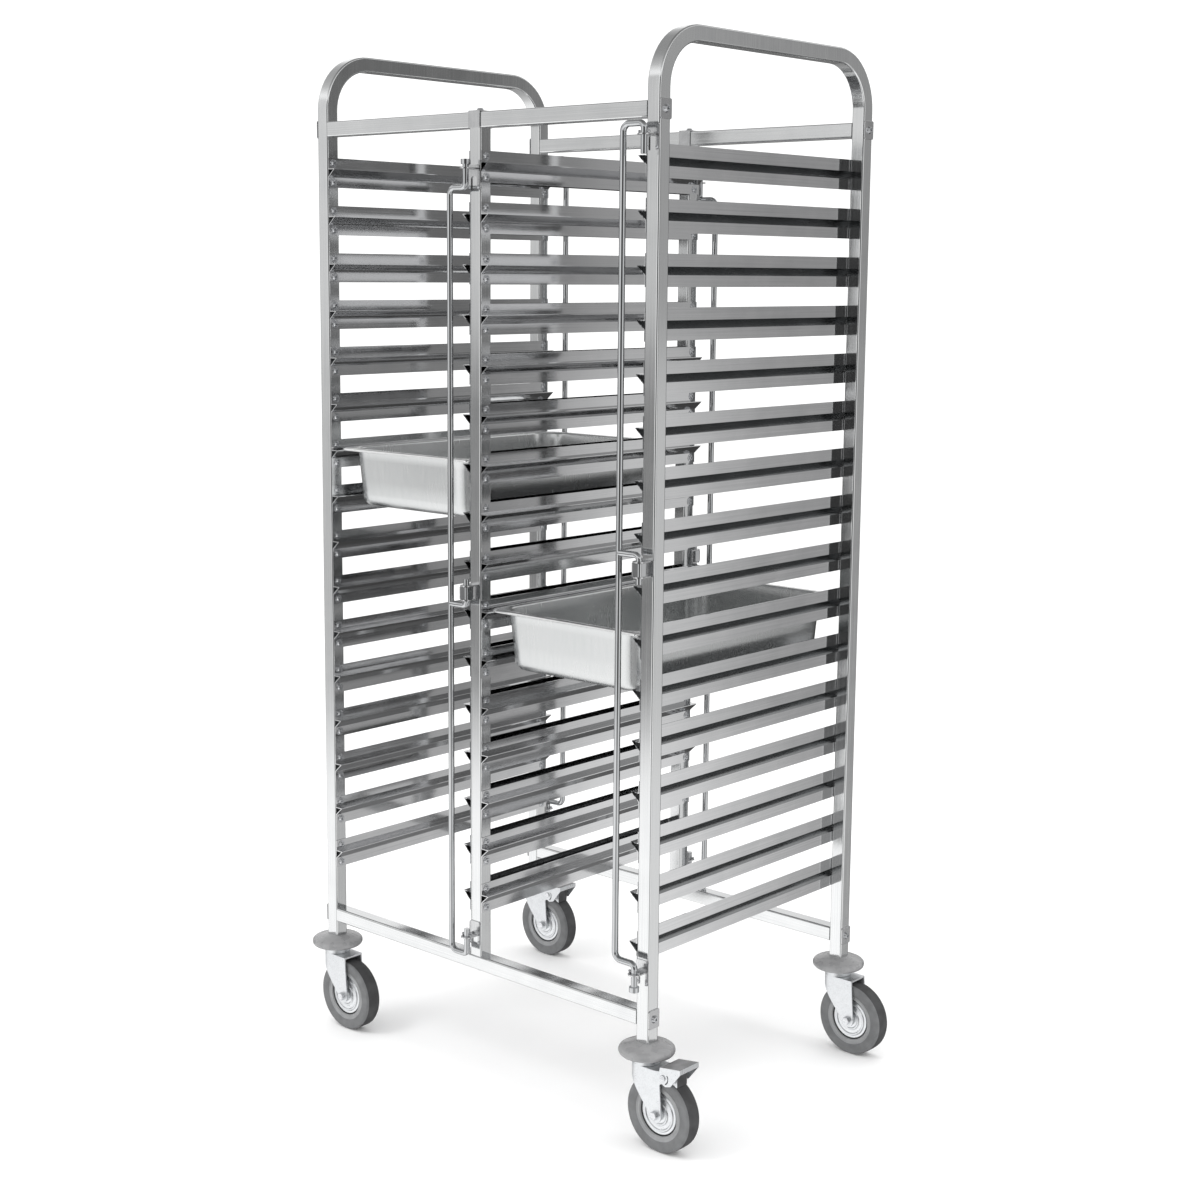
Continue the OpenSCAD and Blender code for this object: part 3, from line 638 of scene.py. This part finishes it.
def make_pan(side):
    """Deep-drawn pan: a wrapped edge, a flat rim and a bowl with soft corners."""
    node = f"{side}_pan"
    low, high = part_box(node)
    centre = Vector(((low.x + high.x) / 2, (low.y + high.y) / 2, high.z))
    width, length = (high.x - low.x) / MM, (high.y - low.y) / MM
    depth = (high.z - low.z) / MM
    # Inset from the edge, height and corner radius, from the wrapped edge in
    rings = [
        (3.2, -PAN_EDGE_DROP, 12.8), (1.2, -PAN_EDGE_DROP + 0.1, 14.8),
        (0.2, -PAN_EDGE_DROP + 0.7, 15.8), (0, -PAN_EDGE_DROP + 1.3, 16),
        (0.4, -2.4, 15.6), (1.0, -1.1, 15), (1.7, -0.4, 14.3), (2.7, 0, 13.3),
        (8.5, 0, 30), (10.6, -0.6, 37), (12, -2.2, 41), (12.6, -4.5, 42),
        (13.8, -20, 42), (16.5, -55, 41), (18.4, -depth + 21, 40), (19.8, -depth + 13, 38),
        (22.6, -depth + 6.4, 35), (26.8, -depth + 2.4, 31), (32.4, -depth + 0.4, 26),
        (39, -depth, 20), (90, -depth + 0.8, 8),
    ]
    bm = bmesh.new()
    loops = []
    for inset, height, radius in rings:
        size = (width - 2 * inset, length - 2 * inset)
        loops.append(rounded_points(centre, *size, radius, height))
    drawn_shell(bm, loops, PAN_RIM_RINGS)
    bmesh.ops.recalc_face_normals(bm, faces=bm.faces)
    if max(bm.faces, key=lambda f: f.calc_area()).normal.z < 0:
        bmesh.ops.reverse_faces(bm, faces=bm.faces)
    for face in bm.faces:
        face.smooth = True
    # The rim's finish carries a painted highlight
    finishes = [FINISHES["pan_steel"], PAINTED_HIGHLIGHT_RIM_STEEL]
    piece = finished(f"{side}_drawn_pan", bm, BODY_OF[node], "pan_steel", finishes, (node,))
    sheet = piece.modifiers.new("sheet", "SOLIDIFY")
    sheet.thickness = PAN_SHEET * MM
    # Most of the thickness goes on the outside of the bowl
    sheet.offset = -0.6


# -------------------------------------------------------------------- stage


def make_stage():
    """Pale, matt floor, wide enough to meet the white surroundings."""
    bm = bmesh.new()
    bmesh.ops.create_circle(bm, cap_ends=True, radius=14.0, segments=96)
    mesh = bpy.data.meshes.new("floor")
    bm.to_mesh(mesh)
    bm.free()
    floor = bpy.data.objects.new("floor", mesh)
    bpy.context.scene.collection.objects.link(floor)
    material, tree, shader = new_material("pale_floor")
    shade = noise(tree, 400, detail=2.0)
    colour = ramp(tree, shade, [(0.3, "F8F8F8"), (0.7, "FAFAFA")])
    tree.links.new(colour, shader.inputs["Base Color"])
    shader.inputs["Roughness"].default_value = 0.9
    shader.inputs["Specular IOR Level"].default_value = 0.0
    mesh.materials.append(material)
    floor.visible_glossy = False


# Brightness of the studio round the rack, by compass angle from +X: above eye
# height, just below it, and on the studio's floor
HIGH_WALLS = [
    (-180, "80"), (-166, "74"), (-152, "B8"), (-143, "D2"), (-138, "C8"), (-131, "BC"),
    (-124, "D0"), (-112, "F4"), (-95, "EE"), (-82, "A0"), (-66, "40"), (-40, "40"),
    (-22, "90"), (-8, "E0"), (12, "E0"), (27, "A4"), (36, "62"), (46, "66"), (48.5, "96"),
    (50.5, "A0"), (52.5, "8E"), (58, "8A"), (68, "7A"), (82, "40"), (104, "48"),
    (118, "B0"), (130, "DC"), (144, "E0"), (160, "98"), (180, "80"),
]
LOW_WALLS = [
    (-180, "88"), (-166, "7C"), (-152, "C0"), (-141, "D4"), (-138, "94"), (-134, "7A"),
    (-127, "7C"), (-119, "B4"), (-108, "F4"), (-92, "EE"), (-80, "98"), (-66, "38"),
    (-40, "3C"), (-22, "9A"), (-6, "E4"), (14, "E4"), (28, "B0"), (36, "7C"), (46, "84"),
    (48.5, "C0"), (50.5, "C8"), (53, "9C"), (57, "90"), (68, "7E"), (84, "38"), (104, "44"),
    (118, "78"), (130, "56"), (146, "5C"), (162, "80"), (180, "88"),
]
FLOOR_ROUND = [
    (-180, "C4"), (-165, "E4"), (-146, "FA"), (-100, "FF"), (-80, "E8"), (-60, "A0"),
    (-38, "A0"), (-15, "E8"), (22, "EC"), (36, "AC"), (46, "B8"), (48.5, "DC"), (50.5, "DE"),
    (53, "BE"), (57, "8C"), (68, "5C"), (82, "46"), (96, "3C"), (111, "3E"), (122, "74"),
    (135, "94"), (155, "A8"), (180, "C4"),
]
# Brightness of the ceiling by the sine of its height over the horizon
CEILING = [(0.0, "EC"), (0.42, "EC"), (0.55, "B8"), (0.72, "8C"), (0.9, "84"), (1.0, "60")]
# Where one part of the studio blends into the next, as sines of height
FLOOR_EDGE = (-0.27, -0.2)
EYE_LINE = (-0.07, -0.01)
CEILING_EDGE = (0.3, 0.38)
# Strength of the white that lights the rack, and of the studio in the metal
WHITE_LIGHT = 1.22
MIRRORED_LIGHT = 1.35


def round_ramp(tree, share, stops):
    """Ramp of grey tones round the compass."""
    stops = [((turn + 180) / 360, code * 3) for turn, code in stops]
    return ramp(tree, share, stops)


def mix_colours(tree, factor, first, second):
    """The first colour where the factor is 0, the second where it is 1."""
    inputs = {"Factor": factor, "A": first, "B": second}
    return add(tree, "ShaderNodeMix", inputs, data_type="RGBA").outputs["Result"]


def make_world():
    """White to the camera; to the metal, a studio with pale and dark walls."""
    world = bpy.data.worlds.new("studio")
    bpy.context.scene.world = world
    world.use_nodes = True
    tree = world.node_tree
    tree.nodes.clear()
    way = add(tree, "ShaderNodeTexCoord").outputs["Generated"]
    parts = add(tree, "ShaderNodeSeparateXYZ", {"Vector": way})
    turn = add(tree, "ShaderNodeMath", operation="ARCTAN2")
    tree.links.new(parts.outputs["Y"], turn.inputs[0])
    tree.links.new(parts.outputs["X"], turn.inputs[1])
    share = add(
        tree,
        "ShaderNodeMapRange",
        {"Value": turn.outputs["Value"], "From Min": -math.pi, "From Max": math.pi},
    ).outputs["Result"]

    def above(low, high):
        inputs = {"Value": parts.outputs["Z"], "From Min": low, "From Max": high}
        blend = add(tree, "ShaderNodeMapRange", inputs, interpolation_type="SMOOTHSTEP")
        return blend.outputs["Result"]

    floor = round_ramp(tree, share, FLOOR_ROUND)
    low_walls = round_ramp(tree, share, LOW_WALLS)
    high_walls = round_ramp(tree, share, HIGH_WALLS)
    studio = mix_colours(tree, above(*FLOOR_EDGE), floor, low_walls)
    studio = mix_colours(tree, above(*EYE_LINE), studio, high_walls)
    ceiling = ramp(tree, parts.outputs["Z"], [(z, code * 3) for z, code in CEILING])
    studio = mix_colours(tree, above(*CEILING_EDGE), studio, ceiling)
    metal_sees = add(tree, "ShaderNodeLightPath").outputs["Is Glossy Ray"]
    colour = mix_colours(tree, metal_sees, linear("FFFFFF"), studio)
    inputs = {"Value": metal_sees, "To Min": WHITE_LIGHT, "To Max": MIRRORED_LIGHT}
    strength = add(tree, "ShaderNodeMapRange", inputs).outputs["Result"]
    light = add(tree, "ShaderNodeBackground", {"Color": colour, "Strength": strength})
    output = add(tree, "ShaderNodeOutputWorld")
    tree.links.new(light.outputs["Background"], output.inputs["Surface"])


def soft_light(name, place, target, size, power):
    """Soft box that shapes the matt surfaces; the metal sees the studio instead."""
    light = bpy.data.lights.new(name, "AREA")
    light.shape = "RECTANGLE"
    light.size, light.size_y = size
    light.energy = power
    lamp = bpy.data.objects.new(name, light)
    lamp.location = place
    lamp.rotation_euler = (Vector(target) - Vector(place)).to_track_quat("-Z", "Y").to_euler()
    lamp.visible_glossy = False
    bpy.context.scene.collection.objects.link(lamp)


def make_lights():
    """Three soft boxes, from the front, the side and above."""
    middle = (0, 0, 0.9)
    soft_light("front_softbox", (-1.5, -2.9, 3.6), middle, (1.6, 1.6), 45)
    soft_light("side_softbox", (3.2, 0.9, 3.2), middle, (1.2, 1.2), 12)
    soft_light("top_softbox", (0.3, 0.2, 4.4), (0, 0, 0), (2.6, 2.2), 25)


def make_camera():
    """Camera at standing height, off the rack's front right corner."""
    place = Vector((2.184, -2.466, 1.357))
    turn, tilt, roll = 41.5, -8.6, 0.5
    data = bpy.data.cameras.new("camera")
    data.lens = 57.8
    data.sensor_width = 36
    data.shift_y = -0.03
    camera = bpy.data.objects.new("camera", data)
    aim = (
        Matrix.Rotation(math.radians(turn), 4, "Z")
        @ Matrix.Rotation(math.radians(90 + tilt), 4, "X")
        @ Matrix.Rotation(math.radians(roll), 4, "Z")
    )
    camera.matrix_world = Matrix.Translation(place) @ aim
    bpy.context.scene.collection.objects.link(camera)
    bpy.context.scene.camera = camera


make_frame()
make_runners()
make_guards()
make_castors()
for bay in ("left", "right"):
    make_pan(bay)
make_stage()
make_world()
make_lights()
make_camera()
bpy.context.scene.view_settings.view_transform = "Standard"
